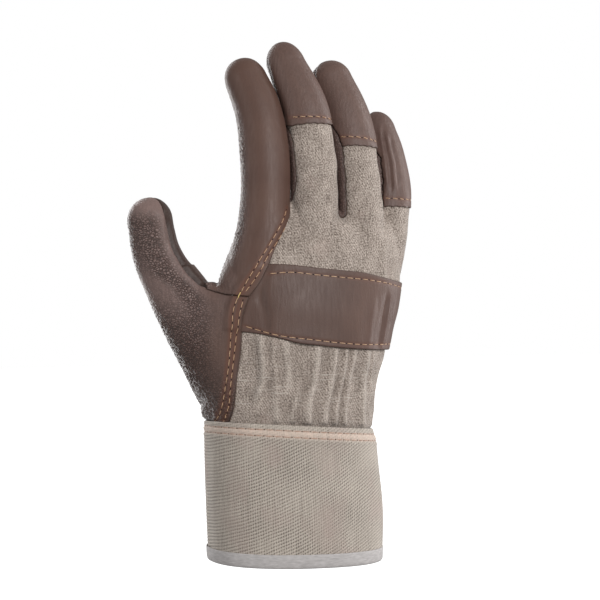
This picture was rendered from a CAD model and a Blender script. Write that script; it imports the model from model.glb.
import math
from collections import namedtuple

import bpy
import numpy as np
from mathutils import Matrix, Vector
from mathutils.bvhtree import BVHTree


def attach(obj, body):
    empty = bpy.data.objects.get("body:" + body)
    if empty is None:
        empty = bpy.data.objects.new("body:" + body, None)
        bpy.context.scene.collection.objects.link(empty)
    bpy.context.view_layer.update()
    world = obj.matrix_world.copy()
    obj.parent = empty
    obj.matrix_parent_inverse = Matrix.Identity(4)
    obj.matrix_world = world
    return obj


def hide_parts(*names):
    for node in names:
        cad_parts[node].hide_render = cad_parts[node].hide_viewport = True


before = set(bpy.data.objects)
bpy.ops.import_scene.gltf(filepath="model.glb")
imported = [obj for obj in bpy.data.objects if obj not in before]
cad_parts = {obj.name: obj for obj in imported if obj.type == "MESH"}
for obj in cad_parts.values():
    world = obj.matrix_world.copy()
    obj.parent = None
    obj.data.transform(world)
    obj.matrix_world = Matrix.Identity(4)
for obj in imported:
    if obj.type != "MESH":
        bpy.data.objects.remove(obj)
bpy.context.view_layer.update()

# The view: straight at the upright glove from 22 degrees on the thumb side, a little above its middle, from
# far enough off that little perspective shows. The glove is held up at its mouth, clear of the floor.
VIEW_TURN = math.radians(22)
CAMERA_DISTANCE = 1.0
CAMERA_RISE = 0.0305
PICTURE_WIDTH = 0.300
SENSOR_WIDTH = 36.0
AIM_RIGHT = 0.00275
AIM_HEIGHT = 0.130
rightwards = Vector((math.cos(VIEW_TURN), -math.sin(VIEW_TURN), 0))
towards = Vector((-math.sin(VIEW_TURN), -math.cos(VIEW_TURN), 0))
upwards = Vector((0, 0, 1))
aim = rightwards * AIM_RIGHT + upwards * AIM_HEIGHT
camera = bpy.data.objects.new("camera", bpy.data.cameras.new("camera"))
camera.data.sensor_width = SENSOR_WIDTH
camera.data.lens = SENSOR_WIDTH * CAMERA_DISTANCE / PICTURE_WIDTH
camera.location = aim + towards * CAMERA_DISTANCE + upwards * CAMERA_RISE
camera.rotation_euler = (aim - camera.location).to_track_quat("-Z", "Y").to_euler()
bpy.context.collection.objects.link(camera)
bpy.context.scene.camera = camera

# The light: a dim even surround that the camera sees as white, a wide soft box in front on the right, a weak
# one on the left, and a long narrow one behind each shoulder, which draws a bright line down the edges. Size
# is width by height, in metres.
SURROUND_LIGHT = 0.4
SOFT_BOXES = {
    "front_box": dict(right=0.72, front=1.1, up=0.5, size=(0.8, 0.8), power=12.8),
    "left_front_box": dict(right=-0.95, front=0.7, up=0.3, size=(0.4, 0.9), power=2.2),
    "left_edge_box": dict(right=-0.5, front=-0.65, up=0.1, size=(0.3, 1.2), power=6.2),
    "right_edge_box": dict(right=0.85, front=-0.3, up=0.15, size=(0.25, 1.2), power=6),
}
for name, box in SOFT_BOXES.items():
    lamp = bpy.data.objects.new(name, bpy.data.lights.new(name, "AREA"))
    lamp.data.shape = "RECTANGLE"
    lamp.data.size, lamp.data.size_y = box["size"]
    lamp.data.energy = box["power"]
    lamp.location = aim + rightwards * box["right"] + towards * box["front"] + upwards * box["up"]
    lamp.rotation_euler = (aim - lamp.location).to_track_quat("-Z", "Y").to_euler()
    bpy.context.collection.objects.link(lamp)
world = bpy.data.worlds.new("white_surround")
world.use_nodes = True
surround = world.node_tree
backdrop = surround.nodes["Background"]
backdrop.inputs["Color"].default_value = (1, 1, 1, 1)
brightness = surround.nodes.new("ShaderNodeMapRange")
brightness.inputs["To Min"].default_value = SURROUND_LIGHT
seen_directly = surround.nodes.new("ShaderNodeLightPath").outputs["Is Camera Ray"]
surround.links.new(seen_directly, brightness.inputs["Value"])
surround.links.new(brightness.outputs[0], backdrop.inputs["Strength"])
bpy.context.scene.world = world
bpy.context.scene.view_settings.view_transform = "Standard"

# The floor: a wide sheet of white paper well below the glove, lit so brightly that it shows no shadow. It
# lends the glove no light of its own.
FLOOR_Z = -0.30
FLOOR_HALF = 6.0
PAPER_DARK, PAPER_LIGHT = (0.93, 0.93, 0.93), (0.97, 0.97, 0.97)


def put(tree, socket, value):
    """Links a socket to another one, or sets its own value."""
    if isinstance(value, bpy.types.NodeSocket):
        tree.links.new(value, socket)
    else:
        socket.default_value = value


def node(tree, kind, inputs, **settings):
    """One shader node with its settings and inputs."""
    made = tree.nodes.new("ShaderNode" + kind)
    for key, value in settings.items():
        setattr(made, key, value)
    for key, value in inputs.items():
        put(tree, made.inputs[key], value)
    return made


def noise(tree, place, scale, detail=3.0, output="Fac", **more):
    return node(tree, "TexNoise", {"Vector": place, "Scale": scale, "Detail": detail, **more}).outputs[output]


def toned(tree, share, dark, light, start=0.0, end=1.0):
    """A colour that is dark up to the start of a share and light from its end."""
    ramp = node(tree, "ValToRGB", {"Fac": share})
    for stop, at, colour in zip(ramp.color_ramp.elements, (start, end), (dark, light)):
        stop.position = at
        stop.color = (*colour, 1)
    return ramp.outputs[0]


def new_finish(name):
    """An empty material with its tree, its shader and the place of each point in metres."""
    material = bpy.data.materials.new(name)
    material.use_nodes = True
    tree = material.node_tree
    tree.nodes.clear()
    surface = node(tree, "BsdfPrincipled", {})
    node(tree, "OutputMaterial", {"Surface": surface.outputs[0]})
    return material, tree, surface, node(tree, "TexCoord", {}).outputs["Object"]


def finished(tree, surface, looks, relief=None, depth=0.0):
    """Sets the shader's inputs, and its bump from a relief of 0 to 1 that is so many metres deep."""
    if relief is not None:
        bump = node(tree, "Bump", {"Height": relief, "Distance": depth, "Strength": 1.0})
        looks["Normal"] = bump.outputs[0]
    for key, value in looks.items():
        put(tree, surface.inputs[key], value)


floor_mesh = bpy.data.meshes.new("paper_floor")
floor_corners = [(x * FLOOR_HALF, y * FLOOR_HALF, FLOOR_Z) for x, y in ((-1, -1), (1, -1), (1, 1), (-1, 1))]
floor_mesh.from_pydata(floor_corners, [], [(0, 1, 2, 3)])
floor = bpy.data.objects.new("paper_floor", floor_mesh)
bpy.context.collection.objects.link(floor)
paper, tree, surface, place = new_finish("floor_paper")
finished(tree, surface, {
    "Base Color": toned(tree, noise(tree, place, 3.0, 2.0), PAPER_DARK, PAPER_LIGHT), "Roughness": 0.9,
    "Emission Color": (1, 1, 1, 1), "Emission Strength": 1.0})
floor_mesh.materials.append(paper)
floor.visible_diffuse = False
floor.visible_glossy = False

# The pressing form: the heated metal hand that the sewn glove is ironed on. It doesn't show, but every panel
# takes its shape from it. From here on, lengths are in millimetres. A finger's row is the height, the centre's
# x and y, and half the width and the depth. Rows below 150 are bones, which only steer the side seams.
FINGERS = {
    "index": [
        (45.5, -20, 0, 12, 12), (105.5, -22, -2, 12, 12), (150.5, -22.5, -4.5, 13, 13.5),
        (166.5, -18.6, -4.8, 12.7, 13), (180.5, -17.2, -4.5, 12.3, 12.4), (205.5, -17.2, -2.5, 12.5, 12),
        (224.5, -18.4, 3, 11.6, 11.4), (239.5, -22.2, 9.4, 10.5, 10.4),
    ],
    "middle": [
        (45.5, -6, 0, 12, 12), (105.5, 2, -4, 12, 12), (150.5, 7, -7.5, 13, 14), (180.5, 7.5, -7, 12.7, 12.4),
        (205.5, 6.8, -5, 12.8, 12), (230.5, 3.9, 2, 11.5, 11.2), (247, -0.6, 9, 9.3, 9.6),
    ],
    "ring": [
        (45.5, 8, 0, 12, 12), (105.5, 24, -3, 12, 12), (150.5, 32, -6, 13, 13.5), (180.5, 32.8, -5, 12.7, 12),
        (203.5, 31.2, -1.5, 12.5, 11.4), (224.5, 28.7, 5, 12, 10.8), (240, 24.7, 11.2, 10.7, 9.6),
    ],
    "little": [
        (45.5, 20, 0, 10, 10), (105.5, 40, 0, 10, 10), (135.5, 46.6, -1, 9, 10), (163.5, 50.8, 1, 11.3, 11.4),
        (186.5, 52.8, 4, 11.5, 10.8), (204.5, 52.4, 9.5, 10.6, 10), (215, 51.5, 13.8, 9.2, 8.8),
    ],
    "thumb": [
        (45.5, -28, 4, 12, 16), (73.5, -28.3, 6.5, 15, 17), (88.5, -32.7, 9.4, 16.4, 18.9),
        (103.5, -39.1, 12, 17.1, 18.5), (131.5, -53.8, 18, 15.4, 14.6), (137.5, -57.3, 18.9, 14.5, 14),
        (144.5, -61.4, 20, 13.2, 12.8), (151.5, -64.4, 21.4, 12.5, 12), (168.5, -68, 22.5, 11.6, 11),
    ],
}
# The dome over a finger's last row: its length, the angles of its rings and how blunt it is.
TIP_LENGTH = {"index": 11.5, "middle": 12.5, "ring": 10.6, "little": 10.7, "thumb": 12.6}
TIP_TURNS = np.radians(np.linspace(6, 86, 15))[:, None]
TIP_BLUNT = 0.86
ROOT = {"index": 140, "middle": 143, "ring": 143, "little": 130, "thumb": 75}
RAYS = ["index", "middle", "ring", "little"]
# A row of the hand or the thumb's web is the height, the centre's x and y, half the width and the depth, and
# the bow of the edges.
HAND = [
    (51.5, -2.3, 0, 42, 30.9, 0), (61, -2.3, 0, 42, 30.9, 0), (66, -2.6, 0, 40.8, 29.4, 0),
    (69, -2.1, 0, 42, 30.3, 0), (70.4, -2.8, 0, 43.7, 30.8, 0), (73, -3.1, 0, 44.2, 31, 0),
    (87.5, 0.1, 0, 43.6, 28.2, 0), (107.5, 3.4, -1, 46.4, 25.4, 1), (116.5, 4.5, -2, 47.1, 24.4, 1.7),
    (125.5, 6, -3, 48.4, 23.4, 2.5), (141.5, 9, -4.5, 48, 20.4, 4), (155.5, 12, -5.5, 45.8, 17.2, 5),
    (164.5, 14, -5.5, 44, 13.6, 5.5), (170.5, 15, -5.2, 41.5, 9.5, 5.5), (174, 15.5, -5, 38, 4.5, 5.5),
]
THUMB_WEB = [
    (74, -31, 2, 11, 13, 0), (88, -34, 3, 13, 16, 0), (104, -36.5, 5, 14, 16.5, 0),
    (120, -38.5, 6.5, 14.5, 15.5, 0),
    (130, -41, 7.5, 11.5, 12, 0), (136, -42.5, 7.5, 6.5, 8, 0), (139, -43, 7.5, 3, 5, 0),
]
# The line between two neighbouring fingers as heights and x, and the height of the crotch at its foot.
PARTING = {
    ("index", "middle"): [(185.5, -6), (205.5, -6.2), (227.5, -7.9), (243.5, -11), (262, -15)],
    ("middle", "ring"): [
        (180.5, 19.4), (195.5, 18.7), (205.5, 18), (216.5, 16.8), (231.5, 15), (243.5, 12.8), (256, 10.2)],
    ("ring", "little"): [(171, 44.4), (182, 43.6), (195.5, 42.8), (243.5, 42.3)],
}
CROTCH = {("index", "middle"): 178, ("middle", "ring"): 172, ("ring", "little"): 174}
CROTCH_FILL = 6
WEB_FOOT = 150
WEB_HALF, WEB_DEPTH = 6, 8.5
# The height of the cuff's rim in the middle of the wrist. The rim, and the waist that it holds, rise by so
# much a millimetre to the right and to the front. The waist spreads a little lower at the sides of the hand.
CUFF_TOP = 67.7
WAIST_ACROSS = -0.047
WAIST_TOWARDS = 0.07
WAIST_STARTS, WAIST_ENDS = (60, 66), (74, 84)
SPREAD_RIGHT, SPREAD_LEFT = 1.7, 1.2
FINGER_GAP = 1.4
CLOSED_UP = 0.5
ROUNDED = 0.88
VOXEL = 0.72


def smooth(rows, at):
    """The columns after the first of a table, at values of the first, on curves that run on past its ends."""
    rows = np.asarray(rows, float)
    start = rows[:, 0]
    slope = np.gradient(rows[:, 1:], start, axis=0)
    at = np.atleast_1d(np.asarray(at, float))
    i = np.clip(np.searchsorted(start, at) - 1, 0, len(start) - 2)
    span = start[i + 1] - start[i]
    inside = np.clip(at, start[0], start[-1])
    t = ((inside - start[i]) / span)[:, None]
    low, high = rows[i, 1:], rows[i + 1, 1:]
    bend_low, bend_high = slope[i] * span[:, None], slope[i + 1] * span[:, None]
    value = (2 * t**3 - 3 * t**2 + 1) * low + (t**3 - 2 * t**2 + t) * bend_low
    value += (3 * t**2 - 2 * t**3) * high + (t**3 - t**2) * bend_high
    beyond = (at - inside)[:, None]
    return value + beyond * np.where(beyond > 0, slope[-1], slope[0])


BONE_HEIGHTS = np.arange(40, 270, 0.5)
bone_tables = {name: smooth(rows, BONE_HEIGHTS).T for name, rows in FINGERS.items()}


def bone(name, heights):
    """The columns of a finger's table at each height."""
    return np.column_stack([np.interp(heights, BONE_HEIGHTS, column) for column in bone_tables[name]])


def remembered(field):
    """Lets the panels share a field's values at the same points, which are kept with them."""
    known = {}

    def shared(*given):
        key = tuple(value if isinstance(value, (str, tuple)) else id(value) for value in given)
        if key not in known:
            known[key] = (given, field(*given))
        return known[key][1]

    return shared


def across_view(p):
    return p @ np.array(rightwards)


def waist_rise(p):
    """How much higher the waist is at a place than in the middle of the wrist."""
    return p[..., :2] @ (WAIST_ACROSS * np.array(rightwards) + WAIST_TOWARDS * np.array(towards))[:2]


def ease(value, start, end):
    """0 at start, 1 at end and smooth between them."""
    t = np.clip((value - start) / (end - start), 0, 1)
    return t * t * (3 - 2 * t)


def fade(value, start, end):
    """1 at start, 0 at end and smooth between them."""
    return 1 - ease(value, start, end)


def unit(vectors):
    return vectors / np.linalg.norm(vectors, axis=-1, keepdims=True)


def whole_turn(sides):
    return np.linspace(0, 2 * np.pi, sides, endpoint=False)


def finger_loops(name, sides=72, step=1.0):
    """Rings of points square to a finger's centre line, then a domed tip."""
    last = FINGERS[name][-1][0]
    heights = np.append(np.arange(ROOT[name], last - step / 2, step), last)
    rows, before, after = (smooth(FINGERS[name], heights + shift) for shift in (0, -0.5, 0.5))
    along = unit(np.column_stack([after[:, :2] - before[:, :2], np.ones(len(heights))]))
    centre = np.column_stack([rows[:, :2], heights])
    size = rows[:, 2:4]
    centre = np.vstack([centre, centre[-1] + along[-1] * TIP_LENGTH[name] * np.sin(TIP_TURNS)])
    size = np.vstack([size, size[-1] * np.cos(TIP_TURNS) ** TIP_BLUNT])
    along = np.vstack([along, np.repeat(along[-1:], len(TIP_TURNS), 0)])
    across = unit(np.cross((0, 1, 0), along))
    depth = np.cross(along, across)
    angle = whole_turn(sides)[None, :, None]
    loops = centre[:, None] + across[:, None] * size[:, None, :1] * np.cos(angle)
    return loops + depth[:, None] * size[:, None, 1:] * np.sin(angle)


def oval(angle, rounded=ROUNDED):
    """The cosine and sine of a ring that is fuller at its corners than an ellipse."""
    return (np.sign(wave) * np.abs(wave) ** rounded for wave in (np.cos(angle), np.sin(angle)))


def level_loops(rows, heights, sides=120, rounded=ROUNDED):
    """Level rings of points from a table of the hand's kind."""
    x, y, wide, deep, bow = (column[:, None] for column in smooth(rows, heights).T)
    along, depth = oval(whole_turn(sides)[None], rounded)
    height = np.broadcast_to(heights[:, None], (len(heights), sides))
    return np.stack([x + wide * along, y + deep * depth + bow * along**2, height], -1)


def parted(name, loops):
    """Flattens the sides of neighbouring fingers, so that they lie close above the crotch, not touching."""
    softness = 0.5
    for pair, line in PARTING.items():
        if name not in pair:
            continue
        side = 1 if name == pair[0] else -1
        limit = side * smooth(line, loops[..., 2].ravel())[:, 0].reshape(loops.shape[:2])
        limit = limit - FINGER_GAP / 2 + CROTCH_FILL * fade(loops[..., 2], CROTCH[pair] - 4, CROTCH[pair] + 3)
        x = side * loops[..., 0]
        loops[..., 0] = side * (limit - softness * np.logaddexp(0, (limit - x) / softness))
    return loops


def web_loops(pair):
    """The low saddle that joins two fingers below their crotch."""
    top = CROTCH[pair]
    heights = np.linspace(WEB_FOOT, top, 24)
    x = smooth(PARTING[pair], heights)[:, 0]
    y = sum(smooth(FINGERS[name], heights)[:, 1] for name in pair) / 2
    taper = np.sqrt(np.clip((top + 0.5 - heights) / 8, 0, 1))
    rows = np.column_stack([heights, x, y, WEB_HALF * np.ones_like(x), WEB_DEPTH * taper, np.zeros_like(x)])
    return level_loops(rows, heights, sides=32, rounded=1)


def between_rings(corner):
    """Faces of four corners between rings of point numbers."""
    near, far = corner[:-1], corner[1:]
    return np.stack([near, np.roll(near, -1, 1), np.roll(far, -1, 1), far], -1).reshape(-1, 4)


def lofted(loops, first=0):
    """Points and faces of a closed body through rings of points."""
    corner = first + np.arange(loops.size // 3).reshape(loops.shape[:2])
    faces = between_rings(corner).tolist() + [corner[0, ::-1].tolist(), corner[-1].tolist()]
    return loops.reshape(-1, 3), faces


def joined(bodies):
    """Points and faces of many closed bodies in one list."""
    points, faces = [], []
    for loops in bodies:
        more_points, more_faces = lofted(loops, sum(len(p) for p in points))
        points.append(more_points)
        faces += more_faces
    return np.vstack(points), faces


def skinned(bodies, voxel):
    """One closed skin of even triangles round overlapping bodies."""
    mesh = bpy.data.meshes.new("pressing_form")
    points, faces = joined(bodies)
    mesh.from_pydata(points, [], faces)
    solid = bpy.data.objects.new("pressing_form", mesh)
    bpy.context.collection.objects.link(solid)
    skin = solid.modifiers.new("skin", "REMESH")
    skin.mode = "VOXEL"
    skin.voxel_size = voxel
    result = solid.evaluated_get(bpy.context.evaluated_depsgraph_get()).to_mesh()
    result.calc_loop_triangles()
    points = np.empty(len(result.vertices) * 3, np.float32)
    result.vertices.foreach_get("co", points)
    triangles = np.empty(len(result.loop_triangles) * 3, np.int32)
    result.loop_triangles.foreach_get("vertices", triangles)
    bpy.data.objects.remove(solid)
    bpy.data.meshes.remove(mesh)
    return points.reshape(-1, 3).astype(float), triangles.reshape(-1, 3).astype(np.int64)


def gathered(index, values, count):
    """The sum of the rows of values that belong to each index."""
    return np.column_stack([np.bincount(index, values[:, k], count) for k in range(values.shape[1])])


def edges_of(triangles):
    return np.vstack([triangles[:, (0, 1)], triangles[:, (1, 2)], triangles[:, (2, 0)]])


def drawn_together(values, triangles, pulls):
    """Values drawn towards the mean of their neighbours, once for each pull and by that share."""
    edges = np.unique(np.sort(edges_of(triangles), 1), axis=0)
    both = np.vstack([edges, edges[:, ::-1]])
    degree = np.bincount(both[:, 0], minlength=len(values))[:, None]
    for pull in pulls:
        values = values + pull * (gathered(both[:, 0], values[both[:, 1]], len(values)) / degree - values)
    return values


def relaxed(values, triangles, rounds):
    """Values smoothed over the skin, without shrinking it."""
    return drawn_together(values, triangles, (0.6, -0.615) * rounds)


def settled(points, triangles, share, rounds):
    """Points pulled flat, each as far as its share allows."""
    part, local = np.unique(triangles[(share[triangles] > 0).any(1)], return_inverse=True)
    flattened = points.copy()
    flattened[part] = drawn_together(points[part], local.reshape(-1, 3), [0.6 * share[part, None]] * rounds)
    return flattened


def normals_of(points, triangles):
    a, b, c = (points[triangles[:, k]] for k in range(3))
    face = np.cross(b - a, c - a)
    total = gathered(triangles.ravel(), np.repeat(face, 3, 0), len(points))
    return total / np.maximum(np.linalg.norm(total, axis=1, keepdims=True), 1e-12)


hand_heights = np.append(np.arange(HAND[0][0], HAND[-1][0], 1.0), HAND[-1][0])
web_heights = np.linspace(THUMB_WEB[0][0], THUMB_WEB[-1][0], 24)
form_bodies = [level_loops(HAND, hand_heights), level_loops(THUMB_WEB, web_heights, 32, rounded=1)]
form_bodies += [parted(name, finger_loops(name)) for name in FINGERS]
form_bodies += [web_loops(pair) for pair in PARTING]
form_points, form_triangles = skinned(form_bodies, VOXEL)
form_points = relaxed(form_points, form_triangles, 12)
x, y, z = form_points.T
at_waist = ease(z, *WAIST_STARTS) * fade(z, *WAIST_ENDS)
across = across_view(form_points)
spread = SPREAD_RIGHT * ease(across, 22, 38) + SPREAD_LEFT * ease(-across, 25, 40)
form_points[:, 2] += (waist_rise(form_points) - spread) * at_waist
# The ball of the thumb is pulled flat where it faces the view, between the waist, the web and the back.
facing = normals_of(form_points, form_triangles) @ np.array(towards)
thenar = ease(facing, 0.2, 0.5) * ease(z, 69, 74) * fade(z, 132, 139)
thenar *= ease(-x, 8, 20) * fade(-x, 50, 58)
form_points = settled(form_points, form_triangles, thenar, 260)
x, y, z = form_points.T
for pair, line in PARTING.items():
    apart = x - smooth(line, z)[:, 0]
    closer = CLOSED_UP * fade(np.abs(apart), 0.8, 4) * ease(z, CROTCH[pair], CROTCH[pair] + 4)
    form_points[:, 0] -= np.sign(apart) * closer
form_normals = unit(relaxed(normals_of(form_points, form_triangles), form_triangles, 2))
form_columns = np.hstack([form_points, form_normals])

# The leather index finger: one piece of brown grain leather that covers the whole finger and the root of it
# on the back of the hand. Its cut edge is lapped over the drill back and held by two rows of orange stitches.
# Seam lines are lists of x and z on the back of the hand.
TOP = 300
FAR = 120
WEB_SEAM = [(-30.3, 132.3), (-39.4, 133.3), (-46, 136)]
INDEX_EDGE = [
    (-30.3, 132.3), (-25.4, 139.2), (-20.8, 148), (-17.3, 155.5), (-13.2, 162.5), (-8.6, 170),
    (-6.2, 176), (-5, 185.5)]
INDEX_ROWS = {
    "outer": [(-34.7, 133.4), (-29.6, 143.3), (-24.6, 151.5), (-18.8, 160.4), (-11.9, 171.4), (-9.6, 176)],
    "inner": [(-33.1, 133.7), (-25.9, 144), (-21, 152.5), (-15.8, 159.7), (-9.6, 168.3)],
}
INDEX_WRAP = 9
INDEX_CREASE = 160
LEATHER = 1.6
LAP_RISE = 0.4
LAP_RUNS_OUT = (5, 9)
CHANNEL = 0.22
PEBBLE_HEIGHT = 0.75
PEBBLE_SIZE = 1.9
SEAM_GAP = 0.12
# A side wall's reach from the bones towards the back, on a finger's far and near side, and to the palm.
WALL_BACK = (4.2, 6.4)
WALL_FRONT = 4.2
WALL_FOOT = 160
WALL_TOP = {("index", "middle"): 245, ("middle", "ring"): 241, ("ring", "little"): 217}
# The heights between which the wall's reach to the back grows at its foot and shrinks at its top.
WALL_GROWS = {("index", "middle"): (170, 190), ("middle", "ring"): (160, 164), ("ring", "little"): (160, 164)}
WALL_SHRINKS = {
    ("index", "middle"): (208, 223), ("middle", "ring"): (208, 227), ("ring", "little"): (200, 217)}
SIDE_SEAM = -2
STRAP_TOP = [
    (-26, 148.6), (-11, 148.1), (-0.4, 146.8), (16.3, 145.2), (28.2, 143.9), (40.2, 141.4), (54, 138.7),
    (70, 136.5)]
STRAP_BOTTOM = [
    (-40, 115.7), (-33, 115.1), (-21, 113.2), (-8, 109.6), (2.7, 108.3), (15.7, 106.8), (42.4, 104.9),
    (70, 104)]
# The leather's colours.
HIDE_DARK, HIDE_LIGHT = (0.096, 0.0495, 0.0365), (0.125, 0.068, 0.050)
HIDE_PALE = (0.265, 0.183, 0.164)
HIDE_FURROW = (0.030, 0.016, 0.012)
HIDE_PULLED = (0.140, 0.056, 0.034)
HIDE_BURNISHED = (0.022, 0.011, 0.007)
FLESH_DARK, FLESH_LIGHT = (0.16, 0.105, 0.075), (0.27, 0.19, 0.14)


def drawn(points, step=1.5):
    """A smooth line through points."""
    points = np.asarray(points, float)
    run = np.append(0, np.cumsum(np.linalg.norm(np.diff(points, axis=0), axis=1)))
    at = np.linspace(0, run[-1], max(2, int(run[-1] / step)))
    return smooth(np.column_stack([run, points]), at)


def straight(rows, at):
    """The second column of a table at values of the first, on straight lines."""
    return np.interp(at, *zip(*rows))


def away_from(line, p):
    """How far each point is from an open line in x and z."""
    nearest = np.full(len(p), np.inf)
    for (ax, az), (bx, bz) in zip(line[:-1], line[1:]):
        dx, dz = bx - ax, bz - az
        t = np.clip(((p[:, 0] - ax) * dx + (p[:, 2] - az) * dz) / (dx * dx + dz * dz + 1e-12), 0, 1)
        nearest = np.minimum(nearest, np.hypot(p[:, 0] - ax - t * dx, p[:, 2] - az - t * dz))
    return nearest


@remembered
def within(outline, p):
    """How far inside a closed outline in x and z each point is, below zero outside it."""
    x, _, z = p.T
    odd = np.zeros(len(p), bool)
    closed = np.vstack([outline, outline[:1]])
    for (ax, az), (bx, bz) in zip(closed[:-1], closed[1:]):
        odd ^= ((az > z) != (bz > z)) & (x < ax + (z - az) * (bx - ax) / ((bz - az) or 1))
    nearest = away_from(closed, p)
    return np.where(odd, nearest, -nearest)


@remembered
def palmward(p):
    """How far each point is on the palm side of the sheet through the bones of the four fingers."""
    bones = [bone(name, p[:, 2])[:, :2] for name in RAYS]
    level = bones[0][:, 1].copy()
    for a, b in zip(bones[:-1], bones[1:]):
        level += np.clip((p[:, 0] - a[:, 0]) / (b[:, 0] - a[:, 0]), 0, 1) * (b[:, 1] - a[:, 1])
    return p[:, 1] - level


@remembered
def wall_region(pair, p):
    """How far inside the side wall between two fingers each point is."""
    x, _, z = p.T
    from_x, to_x = (bone(name, z)[:, 0] for name in pair)
    top = WALL_TOP[pair]
    share = np.clip((top - z + 3) / 18, 0, 1)
    level = palmward(p) - SIDE_SEAM * (1 - share)
    near_side = ease(x - straight(PARTING[pair], z), -0.6, 0.6)
    uneven = 0.14 * np.sin(z * 1.1) + 0.12 * np.sin(z * 2.9 + 1) + 0.1 * np.sin(z * 0.47)
    back = (WALL_BACK[0] + (WALL_BACK[1] - WALL_BACK[0]) * near_side + uneven) * share
    back *= ease(z, *WALL_GROWS[pair]) * fade(z, *WALL_SHRINKS[pair])
    return np.minimum.reduce([
        back + level, WALL_FRONT * share - level, z - WALL_FOOT, top - z, x - from_x, to_x - x])


@remembered
def all_walls(p):
    return np.maximum.reduce([wall_region(pair, p) for pair in WALL_TOP])


def parting(pair, step=1):
    """The line between two fingers as points in x and z, from its foot or with a step of -1 from its top."""
    return [(x, z) for z, x in PARTING[pair][::step]]


index_outline = np.vstack([
    [(-46, TOP)], WEB_SEAM[::-1], drawn(INDEX_EDGE)[1:], parting(("index", "middle")), [(-15, TOP)]])


@remembered
def index_region(p):
    wrapped = np.maximum(INDEX_WRAP - palmward(p), p[:, 2] - INDEX_CREASE)
    return np.minimum.reduce([within(index_outline, p), wrapped, -all_walls(p)])


def cut(columns, triangles, level, both=False):
    """Cuts a skin along the zero of level and keeps the part above it, or both parts."""
    level = np.where(np.abs(level) < 0.04, 0.0, level)
    sign = np.sign(level).astype(int)[triangles]
    above = sign.min(1) >= 0
    mixed = ~above & (sign.max(1) > 0)
    touching = mixed & (sign == 0).any(1)
    crossing = mixed & ~touching

    def rolled(chosen, first):
        turn = (np.arange(3)[None] + first[:, None]) % 3
        return (np.take_along_axis(rows[chosen], turn, 1) for rows in (triangles, sign))

    a, a_sign = rolled(touching, np.argmax(sign[touching] == 0, 1))
    odd_one = np.argmax(sign[crossing] == -np.sign(sign[crossing].sum(1))[:, None], 1)
    b, b_sign = rolled(crossing, odd_one)
    edges = np.sort(np.vstack([a[:, 1:], b[:, :2], b[:, (0, 2)]]), 1)
    edges, where = np.unique(edges, axis=0, return_inverse=True)
    where = where.ravel() + len(columns)
    low, high = edges.T
    share = (level[low] / (level[low] - level[high]))[:, None]
    columns = np.vstack([columns, columns[low] * (1 - share) + columns[high] * share])
    m, m1, m2 = np.split(where, (len(a), len(a) + len(b)))
    (a0, a1, a2), (b0, b1, b2) = a.T, b.T
    pieces = np.vstack([np.column_stack(corners) for corners in (
        (a0, a1, m), (a0, m, a2), (b0, m1, m2), (m1, b1, b2), (m1, b2, m2))])
    if both:
        return columns, np.vstack([triangles[~mixed], pieces])
    side = np.concatenate([a_sign[:, 1], a_sign[:, 2], b_sign[:, 0], b_sign[:, 1], b_sign[:, 1]])
    kept = np.vstack([triangles[above], pieces[side > 0]])
    used, kept = np.unique(kept, return_inverse=True)
    return columns[used], kept.reshape(-1, 3)


def biggest(columns, triangles):
    """Only the largest connected part of a skin."""
    label = np.arange(len(columns))
    while True:
        lowest = label.copy()
        np.minimum.at(lowest, triangles.ravel(), np.repeat(label[triangles].min(1), 3))
        lowest = lowest[lowest]
        if (lowest == label).all():
            break
        label = lowest
    main = np.bincount(label[triangles[:, 0]]).argmax()
    used, kept = np.unique(triangles[label[triangles[:, 0]] == main], return_inverse=True)
    return columns[used], kept.reshape(-1, 3)


Panel = namedtuple("Panel", "columns triangles p rim")


def panel(region, rounding=(0.3, 0.8)):
    """The part of the form inside a region, with rows of points close to its edge so that the edge can be
    rounded. It holds the columns of the form, the triangles, the points and how far each is inside the
    edge."""
    columns, triangles = biggest(*cut(form_columns, form_triangles, region(form_points) - SEAM_GAP))
    for distance in rounding:
        field = region(columns[:, :3].copy()) - SEAM_GAP - distance
        columns, triangles = cut(columns, triangles, field, both=True)
    p = columns[:, :3].copy()
    return Panel(columns, triangles, p, region(p) - SEAM_GAP)


def rounded_edge(edge, drop=0.35, reach=0.8):
    """How far the outer face falls towards a panel's edge."""
    return -drop * (1 - np.sqrt(np.clip(1 - (1 - np.clip(edge / reach, 0, 1)) ** 2, 0, 1)))


def thick(cloth, outer, inner):
    """A closed wall between two offsets of a panel. Outer points come first, then inner points."""
    triangles, normals, count = cloth.triangles, cloth.columns[:, 3:6], len(cloth.p)
    edges = edges_of(triangles)
    alone = ~np.isin(edges[:, 0] * count + edges[:, 1], edges[:, 1] * count + edges[:, 0])
    a, b = edges[alone].T
    rim = np.vstack([np.column_stack([b, a, a + count]), np.column_stack([b, a + count, b + count])])
    both = np.vstack([cloth.p + normals * offset[:, None] for offset in (outer, inner)])
    return both, np.vstack([triangles, triangles[:, ::-1] + count, rim])


def mesh_object(name, points, faces, material, attributes=None):
    """An object in metres from points in millimetres, smooth shaded."""
    mesh = bpy.data.meshes.new(name)
    mesh.from_pydata(points * 0.001, [], faces)
    mesh.validate()
    mesh.shade_smooth()
    for key, values in (attributes or {}).items():
        kind, slot = ("FLOAT", "value") if values.ndim == 1 else ("FLOAT_VECTOR", "vector")
        data = mesh.attributes.new(key, kind, "POINT").data
        data.foreach_set(slot, np.asarray(values, np.float32).ravel())
    mesh.materials.append(material)
    made = bpy.data.objects.new(name, mesh)
    bpy.context.collection.objects.link(made)
    return made


def attribute(tree, name, output="Fac"):
    return node(tree, "Attribute", {}, attribute_name=name).outputs[output]


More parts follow.
